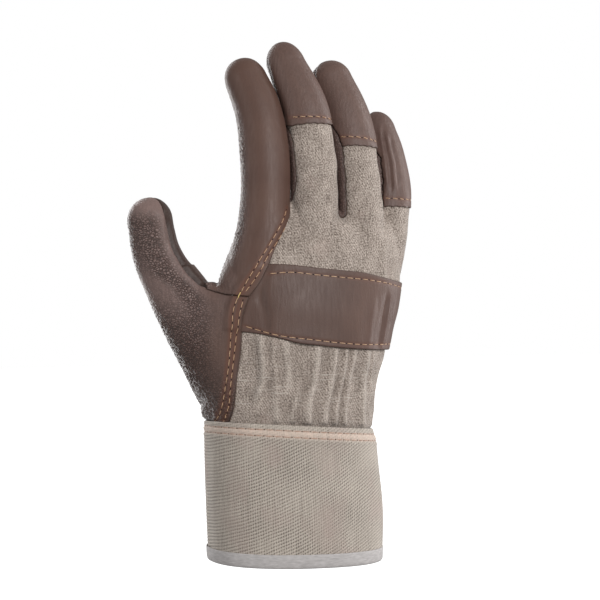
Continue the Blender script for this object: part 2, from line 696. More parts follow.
def mixed(tree, share, a, b):
    """Two colours, or a socket and a colour, mixed by a share."""
    made = node(tree, "Mix", {0: share}, data_type="RGBA")
    for socket, colour in ((made.inputs[6], a), (made.inputs[7], b)):
        put(tree, socket, (*colour, 1) if isinstance(colour, tuple) else colour)
    return made.outputs[2]


def computed(tree, operation, a, b=0.0, c=0.0):
    return node(tree, "Math", {0: a, 1: b, 2: c}, operation=operation).outputs[0]


def times(tree, a, b):
    return computed(tree, "MULTIPLY", a, b)


def blended(tree, shares, total=0.0):
    """The sum of values, each times its share."""
    for value, share in shares:
        total = computed(tree, "MULTIPLY_ADD", value, share, total)
    return total


def ranged(tree, value, low, high, to_low=0.0, to_high=1.0):
    limits = {"From Min": low, "From Max": high, "To Min": to_low, "To Max": to_high}
    return node(tree, "MapRange", {"Value": value, **limits}).outputs[0]


def stretched(tree, place, scale):
    return node(tree, "VectorMath", {0: place, 1: scale}, operation="MULTIPLY").outputs[0]


def shaken(tree, place, scale, reach):
    """A place moved at random by up to half a reach."""
    cloud = noise(tree, place, scale, 2.0, "Color")
    return node(tree, "VectorMath", {0: cloud, 1: reach, 2: place}, operation="MULTIPLY_ADD").outputs[0]


def cells(tree, place, scale, low, high):
    """Rounded cells, 0 in the furrows between them and 1 on top."""
    furrows = node(tree, "TexVoronoi", {"Vector": place, "Scale": scale}, feature="DISTANCE_TO_EDGE")
    return ranged(tree, furrows.outputs["Distance"], low, high)


def leather_finish():
    """Brown full grain leather: fine creases along the hand, round pebbles where the grain value is high, a
    paler dye on worn grain, a redder tone where the thread pulls on it, a dark burnished edge and a napped
    flesh side."""
    material, tree, surface, place = new_finish("brown_leather")
    grain, tint, pale, edge, flesh = (
        attribute(tree, name) for name in ("grain", "tint", "pale", "edge", "flesh"))
    bent = shaken(tree, place, 300.0, (0.0016, 0.0016, 0.0016))
    pebbles = cells(tree, stretched(tree, bent, (1, 1, 1.35)), 700.0, 0.02, 0.25)
    pores = cells(tree, bent, 1500.0, 0.0, 0.35)
    creases = ranged(tree, noise(tree, stretched(tree, bent, (900, 900, 75)), 1.0), 0.35, 0.65)
    fine = blended(tree, [(creases, 0.75)], times(tree, pores, 0.25))
    coarse = blended(tree, [(pebbles, 0.8)], times(tree, pores, 0.2))
    relief = blended(tree, [(computed(tree, "SUBTRACT", coarse, fine), grain)], fine)
    dyed = toned(tree, noise(tree, place, 45.0, 4.0), HIDE_DARK, HIDE_LIGHT, 0.3, 0.7)
    dyed = mixed(tree, times(tree, pale, 0.75), dyed, HIDE_PALE)
    sunk = times(tree, ranged(tree, relief, 0.0, 1.0, 1.0, 0.0), blended(tree, [(grain, 0.86)], 0.11))
    worn = mixed(tree, sunk, dyed, HIDE_FURROW)
    worn = mixed(tree, times(tree, tint, 0.7), worn, HIDE_PULLED)
    worn = mixed(tree, times(tree, edge, 0.55), worn, HIDE_BURNISHED)
    nap = mixed(tree, noise(tree, place, 1800.0), FLESH_DARK, FLESH_LIGHT)
    gloss = blended(tree, [(grain, -0.14), (flesh, 0.4)], ranged(tree, relief, 0.0, 1.0, 0.59, 0.44))
    depth = ranged(tree, grain, 0.0, 1.0, 0.00003, 0.00034)
    looks = {"Base Color": mixed(tree, flesh, worn, nap), "Roughness": gloss, "Specular IOR Level": 0.42}
    finished(tree, surface, looks, relief, depth)
    return material


brown_leather = leather_finish()


def leather_piece(node_name, cloth, outer, inner, grain, tint=0.0, dark=0.0, pale=None):
    """A leather panel as an object that stands for its solid. Grain, tint and a darker or paler dye lie on
    its outer face. It is as pale as its grain is coarse unless told."""
    points, faces = thick(cloth, outer, inner)
    plain = np.zeros(len(cloth.p))
    skin = {
        "grain": grain, "tint": tint, "pale": grain if pale is None else pale,
        "edge": np.maximum(fade(cloth.rim, 0.05, 0.6), dark), "flesh": 0.0}
    attributes = {
        key: np.concatenate([plain + value, plain + (key == "flesh")]) for key, value in skin.items()}
    made = mesh_object(node_name + "_leather", points, faces, brown_leather, attributes)
    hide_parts(node_name)
    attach(made, "root")
    return points, faces


def waver(p, size, height, seed):
    """Slow swells over a panel, as soft leather has."""
    ways = ((1.0, 0.35, 0.6), (-0.55, 0.8, 0.9), (0.4, -0.75, 1.3))
    swells = (np.sin((p @ np.array(way)) * 2 * np.pi / size + seed * (k + 1.7)) for k, way in enumerate(ways))
    return height * sum(swells) / 3


def row_field(rows, p, reach):
    """1 on a row of stitches and 0 at the reach beside it."""
    near = np.minimum.reduce([away_from(drawn(row), p) for row in rows])
    return fade(near, 0, reach)


def beside_strap(p, foot=(-1, 2), head=(-2, 1)):
    """1 over the knuckle strap's band, easing to 0 between two heights at its foot and two at its head."""
    low, high = straight(STRAP_BOTTOM, p[:, 0]), straight(STRAP_TOP, p[:, 0])
    return ease(p[:, 2], low + foot[0], low + foot[1]) * fade(p[:, 2], high + head[0], high + head[1])


def pebbles(p):
    """Round bumps all over, from 0 to 1, as on the grain side of a hide."""
    moved = p + 0.5 * np.sin(p[:, (1, 2, 0)] * 1.3 + (0.3, 1.1, 2.0)) + 0.35 * np.sin(p[:, (2, 0, 1)] * 2.3)
    ways = np.array([(1, 1, 1), (1, -1, -1), (-1, 1, -1), (-1, -1, 1)]) / math.sqrt(3)
    return 0.5 + np.cos(moved @ ways.T * 2 * math.pi / PEBBLE_SIZE).sum(1) / 8


def lapped_leather(cloth, edge, rows, lap_ends=1.0):
    """The outer and inner face of a piece whose edge is lapped over the drill and the strap and sewn down
    with sunk rows of stitches, and besides the lap itself and the tint along the rows."""
    p = cloth.p
    behind = fade(palmward(p), -8, -2)
    lapped = fade(away_from(drawn(edge), p), *LAP_RUNS_OUT) * behind * lap_ends
    channel = row_field(rows.values(), p, 0.9) * behind
    outer = LAP_RISE * lapped * (1 + 1.9 * beside_strap(p)) + rounded_edge(cloth.rim) - CHANNEL * channel
    inner = -LEATHER + lapped * (1.0 + 0.6 * beside_strap(p))
    return outer, inner, lapped, row_field(rows.values(), p, 1.7) * behind


index_panel = panel(index_region)
p = index_panel.p
outer, inner, _, tint = lapped_leather(index_panel, INDEX_EDGE, INDEX_ROWS, fade(p[:, 2], 168, 178))
left_side = ease(bone("index", p[:, 2])[:, 0] - p[:, 0], 10, 13) * (0.35 + 0.65 * ease(p[:, 2], 145, 165))
grain = np.maximum(left_side, ease(palmward(p), 2, 8))
outer += waver(p, 38, 0.22, 1)
outer += PEBBLE_HEIGHT * grain * (pebbles(p) - 0.5)
index_skin = leather_piece("index_finger", index_panel, outer, inner, grain, tint)

# The thumb: an outer piece of pebbled leather from the cuff to the thumb's tip, and an inner piece that
# closes it towards the palm. The outer piece laps over the inner one in a seam down the thumb's side to the
# web.
THUMB_EDGE = [(-40.6, 51.5), (-39.9, 71.5), (-36.8, 90.5), (-34.4, 108), (-33.3, 123), (-30.3, 132.3)]
THUMB_FOOT = (-40.8, 40)
THUMB_ROWS = {
    "outer": [
        (-44.6, 66), (-43.9, 73.6), (-41.4, 86.8), (-39.6, 100), (-38.2, 117.2), (-37.3, 126.5),
        (-34.9, 133.5)],
    "inner": [
        (-42.6, 66), (-41.8, 73.1), (-39.7, 85.6), (-37.9, 100), (-36.1, 115.4), (-35.2, 123.3),
        (-33.5, 130.8)],
}
# The sheet that splits the thumb lengthwise: how far it lies from the bone at each height, and its turn.
THUMB_SPLIT = [
    (45, 4), (85, 4), (123, 4.6), (136.5, 4.3), (142.5, 1.7), (152.5, 1), (168, 0.9), (175, 1.6), (180, 2.6),
    (TOP, 2.6)]
SPLIT_TURN = math.radians(22)
INNER_PATCH = np.array([
    (-FAR, 88), (-40, 88), (-24, 95), (-17, 107), (-17, 120), (-24, 130), (-36, 136.5), (-39.5, 142.5),
    (-41, 148.5), (-46, 160), (-46, TOP), (-FAR, TOP)], float)
WRIST = 62
WEB_WRAP = 9
WEB_X, WEB_TOP = -46, 136
# Where the thumb's own grain begins, counted to the left, and the heights at which its tip turns smooth.
GRAIN_STARTS = (38, 52)
SMOOTH_TIP = (168, 178)
thumb_outline = np.vstack([
    [(-FAR, 40)], drawn([THUMB_FOOT] + THUMB_EDGE[1:]), WEB_SEAM[1:], [(-FAR, WEB_TOP)]])


def radial(p):
    """How far each point is on the outer side of the sheet that splits the thumb lengthwise."""
    bone_x, bone_y = bone("thumb", p[:, 2])[:, :2].T
    along = (p[:, 0] - bone_x) * math.cos(SPLIT_TURN) + (p[:, 1] - bone_y) * math.sin(SPLIT_TURN)
    return straight(THUMB_SPLIT, p[:, 2]) - along


@remembered
def thumb_outer_region(p):
    front = palmward(p) - WEB_WRAP * ease(-p[:, 0], 33, 39) * ease(p[:, 2], 100, 125)
    side, on_outline = radial(p), within(thumb_outline, p)
    region = np.maximum.reduce([
        np.minimum(on_outline, -front), np.minimum(side, front), np.minimum(side, on_outline),
        np.minimum.reduce([side, WEB_X - p[:, 0], p[:, 2] - 128])])
    return np.minimum(region, p[:, 2] - WRIST)


@remembered
def thumb_inner_region(p):
    above_web = np.minimum(WEB_X - p[:, 0], p[:, 2] - WEB_TOP)
    return np.minimum.reduce([
        within(INNER_PATCH, p), -radial(p), np.maximum(palmward(p), above_web), -thumb_outer_region(p),
        -index_region(p)])


thumb_panel = panel(thumb_outer_region)
p = thumb_panel.p
x, _, z = p.T
side = radial(p)
outer, inner, lapped, tint = lapped_leather(thumb_panel, THUMB_EDGE, THUMB_ROWS)
lip = ease(side, 0, 1.3) * fade(side, 2, 8) - 1.8 * fade(side, 0, 1.2)
outer += 0.5 * lip * ease(z, 134, 143) * (1 - 0.8 * ease(z, 170, 178)) + waver(p, 42, 0.3, 4)
own_leather = ease(-x, *GRAIN_STARTS)
grain = np.maximum(own_leather, 1 - ease(z, 80, 105) * (1 - own_leather))
grain = np.maximum(grain, 0.4 * (1 - lapped))
pale = grain * (0.3 + 0.7 * ease(z, 100, 130) + 0.15 * ease(z, 168, 180))
grain *= 1 - 0.65 * (fade(side, 1.5, 8) + ease(side, 12, 17)) * ease(z, 115, 140)
grain *= 1 - 0.8 * ease(z, *SMOOTH_TIP)
outer += PEBBLE_HEIGHT * grain * (pebbles(p) - 0.5)
thumb_skin = leather_piece("thumb_outer", thumb_panel, outer, inner, grain, tint, pale=pale)

inner_thumb = panel(thumb_inner_region)
p = inner_thumb.p
seamward = -radial(p)
below_tip = fade(p[:, 2], 166, 176)
outer = rounded_edge(inner_thumb.rim, 0.5, 1.4) + waver(p, 42, 0.3, 4)
outer -= 2 * fade(seamward, 0.5, 5) * below_tip
outer -= 0.8 * ease(p[:, 2], 147.6, 148.4) * below_tip
inner = np.minimum(-LEATHER, outer - 0.7)
leather_piece("thumb_inner", inner_thumb, outer, inner, 0.3, dark=0.9 * fade(seamward, 4, 10) + 0.3)

# The palm, the fronts of the middle and ring fingers and the side walls between the fingers: leather panels
# sewn inside out and turned, so that each edge rolls into its seam.
FRONT_CREASE = 164
RING_FROM, RING_TO = 20.4, 42.6
FINGER_OUTLINES = {
    "middle": [(-5, FRONT_CREASE), (RING_FROM, FRONT_CREASE), *parting(("middle", "ring")), (11, TOP),
               (-15, TOP), *parting(("index", "middle"), -1)],
    "ring": [(RING_FROM, FRONT_CREASE), (RING_TO, FRONT_CREASE), (RING_TO, TOP), (11, TOP),
             *parting(("middle", "ring"), -1)],
    "little": [(RING_TO, FRONT_CREASE), (FAR, FRONT_CREASE), (FAR, TOP), (RING_TO, TOP)],
}
FINGER_OUTLINES = {name: np.array(outline, float) for name, outline in FINGER_OUTLINES.items()}
FRONT_GRAIN = 0.75


def front_region(name):
    @remembered
    def region(p):
        return np.minimum.reduce([within(FINGER_OUTLINES[name], p), palmward(p) - SIDE_SEAM, -all_walls(p)])

    return region


middle_front, ring_front = front_region("middle"), front_region("ring")


def palm_region(p):
    others = (index_region, thumb_outer_region, thumb_inner_region, all_walls, middle_front, ring_front)
    return np.minimum.reduce([palmward(p) - SIDE_SEAM, p[:, 2] - WRIST] + [-other(p) for other in others])


turned_panels = {"palm": palm_region, "middle_front": middle_front, "ring_front": ring_front}
for pair in WALL_TOP:
    turned_panels["_".join(pair) + "_wall"] = lambda p, pair=pair: wall_region(pair, p)
for node_name, region in turned_panels.items():
    cloth = panel(region, rounding=(0.4, 1.0))
    outer = rounded_edge(cloth.rim, 0.55, 1.5) + waver(cloth.p, 34, 0.25, 7)
    leather_piece(node_name, cloth, outer, np.full(len(outer), -LEATHER), FRONT_GRAIN)

# The back of the hand: one piece of undyed cotton drill, cut under the leather index finger, thumb and
# fingertips, and sewn to the palm at the side seams. It is slack between the knuckle strap and the cuff.
DRILL_TOP = -0.6
DRILL = 1.0
LAP_UNDER = 4.5
TIP_LAP = 5.5
TIP_EDGE = {"middle": 216.3, "ring": 206.3, "little": 176.5}
# The drill swells out under the cuff's rim, so that no light falls between them.
RIM_SWELL = 1.1
# A fold is its half width, its height, and the line that it follows from below: the place across the view and
# the height of each point. Grooves have a height below zero.
FOLDS = [
    (2.3, 2.6, [(-17.7, 84), (-15.2, 91.5), (-15, 99), (-16, 106.5), (-16.2, 112)]),
    (2.0, 1.8, [(-8.7, 62), (-8.7, 76.5), (-9, 91.5), (-9.6, 99), (-10, 112)]),
    (2.6, 2.1, [(-3.2, 86), (-2.8, 91.5), (-3.1, 99), (-4.8, 112)]),
    (1.7, 1.7, [(-0.9, 62), (-0.9, 76.5), (1.3, 84), (2.5, 90)]),
    (2.1, 2.5, [(6.3, 62), (6.6, 76.5), (7.6, 84), (9.6, 91.5), (10.8, 99), (11.7, 112)]),
    (1.8, 1.8, [(14.5, 62), (14.9, 76.5), (16.8, 84), (18.3, 91.5), (19.3, 99), (21.3, 112)]),
    (1.3, 1.7, [(19.8, 62), (20.3, 76.5), (21.7, 84), (23.4, 91.5), (24.9, 99), (26.9, 112)]),
    (1.3, 1.5, [(24.7, 62), (24.9, 76.5), (25.8, 84), (26.8, 91.5), (28.8, 99), (31.2, 112)]),
    (1.7, 2.1, [(33.8, 62), (33.9, 84), (34.3, 91.5), (35.8, 99), (37.9, 112)]),
    (1.0, 0.9, [(38.6, 86), (38.4, 91.5), (39.6, 99), (40.6, 110)]),
    (1.7, 0.9, [(44.8, 139), (45.2, 158)]),
]
# The drill's colours.
DRILL_DARK, DRILL_LIGHT = (0.145, 0.112, 0.090), (0.64, 0.545, 0.477)
DRILL_BLUSH = (0.38, 0.29, 0.25)
DRILL_RUBBED = (0.68, 0.61, 0.54)
DRILL_DUSTY = (0.20, 0.160, 0.135)
DRILL_SLUB = (0.66, 0.60, 0.54)
SLUBS_START, SLUBS_END = (77, 83), (100, 94)


def unrolled(spread, fall):
    """How far to the side a point lies along a curved back, from how far it is aside and how far down."""
    return np.sign(spread) * np.sqrt(spread**2 + 1.46 * np.maximum(fall, 0) ** 2)


def cloth_place(p):
    """The place of each point in the flat drill before it was made up, across and along, in millimetres."""
    hand_x, hand_y, _, deep, _ = smooth(HAND, np.minimum(p[:, 2], 160)).T
    on_hand = hand_x + unrolled(p[:, 0] - hand_x, p[:, 1] - (hand_y - deep))
    bones = np.stack([bone(name, p[:, 2]) for name in RAYS])
    nearest = np.abs(bones[:, :, 0] - p[:, 0]).argmin(0)
    x, y, _, deep = bones[nearest, np.arange(len(p))].T
    on_finger = x + unrolled(p[:, 0] - x, p[:, 1] - (y - deep))
    share = ease(p[:, 2], 158, 180)
    return np.column_stack([on_hand * (1 - share) + on_finger * share, p[:, 2], 0 * share])


def folded(p, folds, widened=1.0):
    """How far smooth folds and grooves lift each point."""
    across, z = across_view(p), p[:, 2]
    total = 0
    for half, height, line in folds:
        at, level = zip(*line)
        away = across - np.interp(z, level, at)
        ends = ease(z, level[0] - 5, level[0] + 3) * fade(z, level[-1] - 3, level[-1] + 5)
        total = total + height * np.exp(-((away / (widened * half)) ** 2)) * ends
    return total


def ribbed(tree, place, direction, pitch):
    """0 to 1 and back over each rib, the ribs square to a direction and this far apart."""
    run = node(tree, "VectorMath", {0: place, 1: direction}, operation="DOT_PRODUCT").outputs["Value"]
    return blended(tree, [(computed(tree, "SINE", times(tree, run, 2 * math.pi / pitch)), 0.5)], 0.5)


def streaks(tree, place, across, along, low=0.3, high=0.7):
    """Soft streaks from 0 to 1, with so many changes a millimetre across and along."""
    return ranged(tree, noise(tree, stretched(tree, place, (across, along, 1)), 1.0), low, high)


def drill_finish():
    """Undyed cotton drill: a fine steep twill that falls to the right and breaks into dots, uneven yarns,
    soft clouds, pale crests and dusty hollows along the folds, and pale slubs in the weft, most of them above
    the wrist."""
    material, tree, surface, _ = new_finish("undyed_drill")
    flat, crest = attribute(tree, "cloth", "Vector"), attribute(tree, "crest")
    bent = shaken(tree, flat, 0.45, (1.0, 1.0, 0.0))
    twill = ribbed(tree, bent, (0.86, 0.51, 0), 1.15)
    dots = times(tree, twill, ribbed(tree, bent, (-0.2, 0.98, 0), 1.25))
    ribs = times(tree, twill, streaks(tree, flat, 0.11, 0.09, 0.4, 0.6))
    speck = ranged(tree, noise(tree, flat, 1.2, Roughness=0.7), 0.35, 0.65)
    weave = blended(tree, [
        (ribs, 0.15), (dots, 0.12), (speck, 0.5), (streaks(tree, flat, 1.3, 0.13), 0.2),
        (streaks(tree, flat, 0.09, 0.11), 0.07)])
    tone = toned(tree, weave, DRILL_DARK, DRILL_LIGHT, 0.2, 0.78)
    tone = mixed(tree, streaks(tree, flat, 0.06, 0.05, 0.58, 0.9), tone, DRILL_BLUSH)
    tone = mixed(tree, ranged(tree, crest, 0.0, 1.0, 0.0, 0.24), tone, DRILL_RUBBED)
    tone = mixed(tree, ranged(tree, crest, 0.0, -1.0, 0.0, 0.38), tone, DRILL_DUSTY)
    height = node(tree, "SeparateXYZ", {0: flat}).outputs[1]
    wrist = times(tree, ranged(tree, height, *SLUBS_START), ranged(tree, height, *SLUBS_END))
    slubs = times(tree, streaks(tree, flat, 0.07, 1.3, 0.6, 0.68), ranged(tree, wrist, 0, 1, 0.12, 0.6))
    finished(tree, surface, {
        "Base Color": mixed(tree, slubs, tone, DRILL_SLUB), "Roughness": 0.92, "Specular IOR Level": 0.2,
        "Sheen Weight": 0.2, "Sheen Roughness": 0.5}, weave, 0.0004)
    return material


undyed_drill = drill_finish()


def off_web(p):
    """Above zero where a piece may run on under the leather, which is not beneath the web seam."""
    return np.maximum(p[:, 0] + 36, 125 - p[:, 2])


def under_leather(p):
    """How far each point is under the leather index finger or thumb, below zero outside them."""
    return np.maximum(within(index_outline, p), within(thumb_outline, p))


def side_seam(p):
    """How far each point on the back is from the seams at the sides of the hand and the fingers."""
    return np.minimum(SIDE_SEAM - palmward(p), -all_walls(p))


def back_region(p):
    tips = [
        np.minimum(within(FINGER_OUTLINES[name], p), p[:, 2] - edge - TIP_LAP)
        for name, edge in TIP_EDGE.items()]
    hidden = [under_leather(p) - LAP_UNDER] + tips
    return np.minimum.reduce([side_seam(p), p[:, 2] - WRIST, off_web(p)] + [-part for part in hidden])


cloth = panel(back_region, rounding=(0.4, 1.0))
p = cloth.p
above_rim = p[:, 2] - CUFF_TOP - waist_rise(p)
folds = folded(p, FOLDS)
slack = (folds * ease(above_rim, 0, 2.5) - 0.5 * fade(p[:, 2], 105, 115)) * fade(under_leather(p), -4, 0)
under_strap = beside_strap(p, (-1.5, 1), (-3.5, -1))
outer = DRILL_TOP + rounded_edge(side_seam(p), 0.5, 1.4) + waver(p, 17, 0.3, 2)
outer += slack - (1 + slack) * under_strap + RIM_SWELL * fade(above_rim, -5.5, -1.5)
inner = DRILL_TOP - DRILL + np.minimum(slack, 0) - (1 + slack) * under_strap
crest = (0.9 * folds - 0.48 * folded(p, FOLDS, 2.2)) * ease(above_rim, -1, 3) * (1 - under_strap)
flat = cloth_place(p)
drill_back = mesh_object("drill_back", *thick(cloth, outer, inner), undyed_drill, {
    "cloth": np.vstack([flat, flat]), "crest": np.concatenate([crest, 0 * crest])})
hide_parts("back")
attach(drill_back, "root")

# The knuckle strap: a band of the same leather across the back, laid on the drill, its left end caught under
# the index and thumb leather and its right end in the side seam, with a row of stitches along each edge.
STRAP_ROWS = {
    "top": [
        (-21.4, 143.6), (-11.5, 144.3), (2.6, 142.9), (16.1, 141.6), (29, 140.4), (40.1, 138.8),
        (52.2, 136.3),
        (58, 134.6)],
    "bottom": [(-32.9, 118.2), (-19.6, 114), (-1.5, 111.4), (11.2, 109.8), (25, 108.5), (43.7, 107.8),
               (56, 107.4)],
}
STRAP_FOLDS = [
    (2.4, -0.8, [(-13.1, 115), (-14.2, 125.2), (-16.2, 131), (-17.4, 140)]),
    (1.5, -0.8, [(41.6, 108), (43.7, 121.2), (45.4, 130)]),
    (1.3, 0.9, [(43.6, 108), (45.4, 121), (47.4, 133)]),
    (0.9, -0.5, [(44.7, 108), (47, 120), (48.4, 128)]),
    (1.6, 0.4, [(36.5, 108), (39, 130)]),
]
STRAP_PROUD = 0.75
STRAP_GRAIN = 0.12
ROW_CHANNEL = 0.25
ROW_TINT = 0.7
strap_outline = np.vstack([drawn(STRAP_BOTTOM), drawn(STRAP_TOP[::-1]), [(-40, 149)]])


def strap_region(p):
    return np.minimum.reduce([
        within(strap_outline, p), SIDE_SEAM + 0.3 - palmward(p), -(under_leather(p) - LAP_UNDER), off_web(p)])


cloth = panel(strap_region)
p = cloth.p
channel = row_field(STRAP_ROWS.values(), p, 0.9)
covered = ease(under_leather(p), -3.5, 0.5)
outer = STRAP_PROUD - 0.55 * covered + rounded_edge(cloth.rim, 0.3, 0.8) - ROW_CHANNEL * channel
outer += folded(p, STRAP_FOLDS) * (1 - covered) * (1 - 0.6 * channel) + waver(p, 30, 0.2, 2)
outer -= 1.1 * ease(-across_view(p), 11, 18) * (1 - covered)
inner = np.minimum(DRILL_TOP + 0.05, outer - 0.6)
tint = ROW_TINT * row_field(STRAP_ROWS.values(), p, 1.8)
left_dark = 0.36 * fade(across_view(p), 22, 38)
strap_skin = leather_piece("knuckle_strap", cloth, outer, inner, STRAP_GRAIN, tint, left_dark)

# The fingertips: a leather cap on the back of the middle, ring and little finger, lapped over the end of the
# drill with one row of stitches and sewn to the front of the finger at the sides.
TIP_PROUD = 0.45
TIP_GRAIN = 0.25
TIP_ROWS = {
    "middle": [(-5, 220.6), (0, 220.9), (8, 220.9), (19, 219.4)],
    "ring": [(19, 211.2), (26, 211.6), (36, 210.6), (44, 208.8)],
    "little": [(41, 181.2), (50, 181.0), (58, 180.6), (65, 180.2)],
}
# How far the cut edge rises over its height at each x.
TIP_ARCH = {
    "middle": [(-6, -0.1), (-2, 0.6), (3, 1.2), (14, 1.0), (20, 0.6)],
    "ring": [(18, 0.2), (27, 0.8), (36, 0.4), (43, -0.6)],
    "little": [(43, 0.3), (52, 0.3), (60, -0.1), (64, -0.5)],
}
# The creases in the little fingertip's leather, where it bends round the side.
LITTLE_FOLDS = [
    (0.9, 0.6, [(50.9, 186), (49.9, 199), (47, 212)]),
    (0.8, -0.6, [(48.8, 186), (47.8, 199), (45, 214)]),
    (0.8, 0.5, [(46.9, 188), (45.9, 199), (43.4, 216)]),
    (0.8, -0.6, [(52.6, 186), (51.6, 199), (48.9, 210)]),
]


def above_edge(name, p):
    """How far each point is above the cut edge of a fingertip's cap."""
    return p[:, 2] - TIP_EDGE[name] - straight(TIP_ARCH[name], p[:, 0]) - 0.16 * np.sin(p[:, 0] * 1.6)


tip_skins = {}
for name, edge in TIP_EDGE.items():
    cloth = panel(lambda p: np.minimum.reduce([
        within(FINGER_OUTLINES[name], p), above_edge(name, p), side_seam(p), -index_region(p)]))
    p = cloth.p
    channel = row_field([TIP_ROWS[name]], p, 0.9)
    outer = TIP_PROUD + rounded_edge(side_seam(p), 0.6, 1.5) + rounded_edge(above_edge(name, p), 0.25, 0.7)
    outer += waver(p, 30, 0.2, 2) - ROW_CHANNEL * channel
    if name == "little":
        outer += folded(p, LITTLE_FOLDS) * fade(channel, 0, 0.5)
    inner = DRILL_TOP - 0.2 - ease(p[:, 2], edge + TIP_LAP, edge + TIP_LAP + 3)
    tint = ROW_TINT * row_field([TIP_ROWS[name]], p, 1.8)
    tip_skins[name] = leather_piece(name + "_tip", cloth, outer, inner, TIP_GRAIN, tint)

# The safety cuff: a stiff tube of canvas lapped over the wrist, woven with a bold twill that rises to the
# right, cut along the selvedge at its top and sewn on with two rows of thread.
CUFF = [
    (0, 0.4, 0, 44.3, 32.8, 0), (25, -0.2, 0, 45, 33.1, 0), (50, -1.8, 0, 44.1, 32.5, 0),
    (80, -2.9, 0, 42.9, 31.8, 0)]
CUFF_FOOT = 1.3
CUFF_HALF = 45
CUFF_RADIUS = 38
HEM_TILT = -0.024
CANVAS = 1.7
CANVAS_TOP = 1.0
# The twill's pitch and height, and how steeply it rises at places from left to right in the view.
RIB_PITCH = 1.62
RIB_HEIGHT = 0.12
RIB_SLOPE = [(-45, 0.28), (0, 0.42), (45, 0.75)]
# How far below the top edge the two rows of stitches lie, at the left and at the right, and the middle between
# them at places from left to right.
CUFF_ROWS = {"upper": (2.5, 3.0), "lower": (5.4, 6.3)}
MIDDLE_OF_ROWS = [(-45, 4.0), (45, 4.6)]
GATHER_PITCH = 4.7
CUFF_SIDES = 420
CUFF_RINGS = 182
# The inner face has one ring for so many of the outer face.
INNER_STEP = 7
# The canvas's colours.
CANVAS_DARK, CANVAS_LIGHT = (0.145, 0.12, 0.098), (0.60, 0.53, 0.46)
CANVAS_BLUSH = (0.40, 0.31, 0.275)
CANVAS_WARM = (0.68, 0.53, 0.44)


def canvas_finish():
    """Undyed canvas: bold twill ribs, fine upright threads, dark pinholes in the furrows and a peach tone
    between the rows of stitches."""
    material, tree, surface, _ = new_finish("undyed_canvas")
    flat, rib, band = attribute(tree, "cloth", "Vector"), attribute(tree, "rib"), attribute(tree, "band")
    threads = ribbed(tree, shaken(tree, flat, 0.3, (0.8, 0.8, 0.0)), (1, 0, 0), 1.2)
    patchy = streaks(tree, flat, 0.06, 0.05, 0.4, 0.6)
    pinholes = times(tree, ranged(tree, threads, 0.4, 0.0), ranged(tree, rib, 0.5, 0.1))
    pinholes = times(tree, pinholes, ranged(tree, patchy, 0.0, 1.0, 0.25, 1.0))
    speck = ranged(tree, noise(tree, flat, 1.5), 0.3, 0.7)
    weave = blended(tree, [
        (rib, 0.26), (threads, 0.12), (streaks(tree, flat, 1.1, 0.05), 0.18), (speck, 0.34),
        (streaks(tree, flat, 0.05, 0.06), 0.12), (pinholes, -0.75)])
    tone = toned(tree, weave, CANVAS_DARK, CANVAS_LIGHT, 0.0, 0.85)
    tone = mixed(tree, streaks(tree, flat, 0.04, 0.03, 0.5, 0.8), tone, CANVAS_BLUSH)
    warmth = times(tree, band, ranged(tree, streaks(tree, flat, 0.5, 0.3), 0.0, 1.0, 0.4, 0.8))
    finished(tree, surface, {
        "Base Color": mixed(tree, warmth, tone, CANVAS_WARM), "Roughness": 0.9, "Specular IOR Level": 0.2,
        "Sheen Weight": 0.25, "Sheen Roughness": 0.5}, weave, 0.0003)
    return material


undyed_canvas = canvas_finish()


def tube(rings):
    """A closed wall through rings of points, the last joined to the first."""
    corner = np.arange(rings.size // 3).reshape(rings.shape[:2])
    quads = between_rings(np.vstack([corner, corner[:1]]))
    return rings.reshape(-1, 3), np.vstack([quads[:, (0, 1, 2)], quads[:, (0, 2, 3)]])


def cuff_grid(heights, offset, sides):
    """Rings of the cuff, begun at the palm, from heights and offsets, one number a ring or one a point."""
    heights = np.asarray(heights, float)
    if heights.ndim == 1:
        heights = np.repeat(heights[:, None], sides, 1)
    x, y, wide, deep, _ = (column.reshape(heights.shape) for column in smooth(CUFF, heights.ravel()).T)
    along, depth = oval(np.pi / 2 + whole_turn(sides)[None])
    return np.stack([x + (wide + offset) * along, y + (deep + offset) * depth, heights], -1)


def below_edge(row, ring):
    """How far a row lies below the cuff's top edge round a ring, from how far at the left and right."""
    left, right = row
    return left + (right - left) * (ring[:, 0] + CUFF_HALF) / (2 * CUFF_HALF)


def cuff_sway(heights, ring):
    """How far the cuff swells out of its plain form, is drawn in against the drill at its top, and puckers
    along its two rows of stitches."""
    x, y = ring[:, 0], ring[:, 1]
    swell = 0.5 * np.sin((x + 2 * y) / 23.0) * np.sin(heights / 26.0 + 0.6)
    below_top = CUFF_TOP + waist_rise(ring) - heights
    drawn_in = np.maximum(ease(-y, 3, 12) * ease(x, -33, -25), 0.9 * ease(x, 30, 40))
    gathers = 0.6 + 0.4 * np.sin(np.arctan2(y, x) * CUFF_RADIUS * 2 * np.pi / GATHER_PITCH)
    rows = 0
    for row in CUFF_ROWS.values():
        away = below_top - below_edge(row, ring)
        ridge = 0.3 * gathers * np.exp(-(((away - 1.3) / 0.8) ** 2))
        rows = rows - 0.35 * np.exp(-((away / 0.5) ** 2)) + ridge
    return swell - 1.15 * drawn_in * fade(below_top, 0, 7) + rows


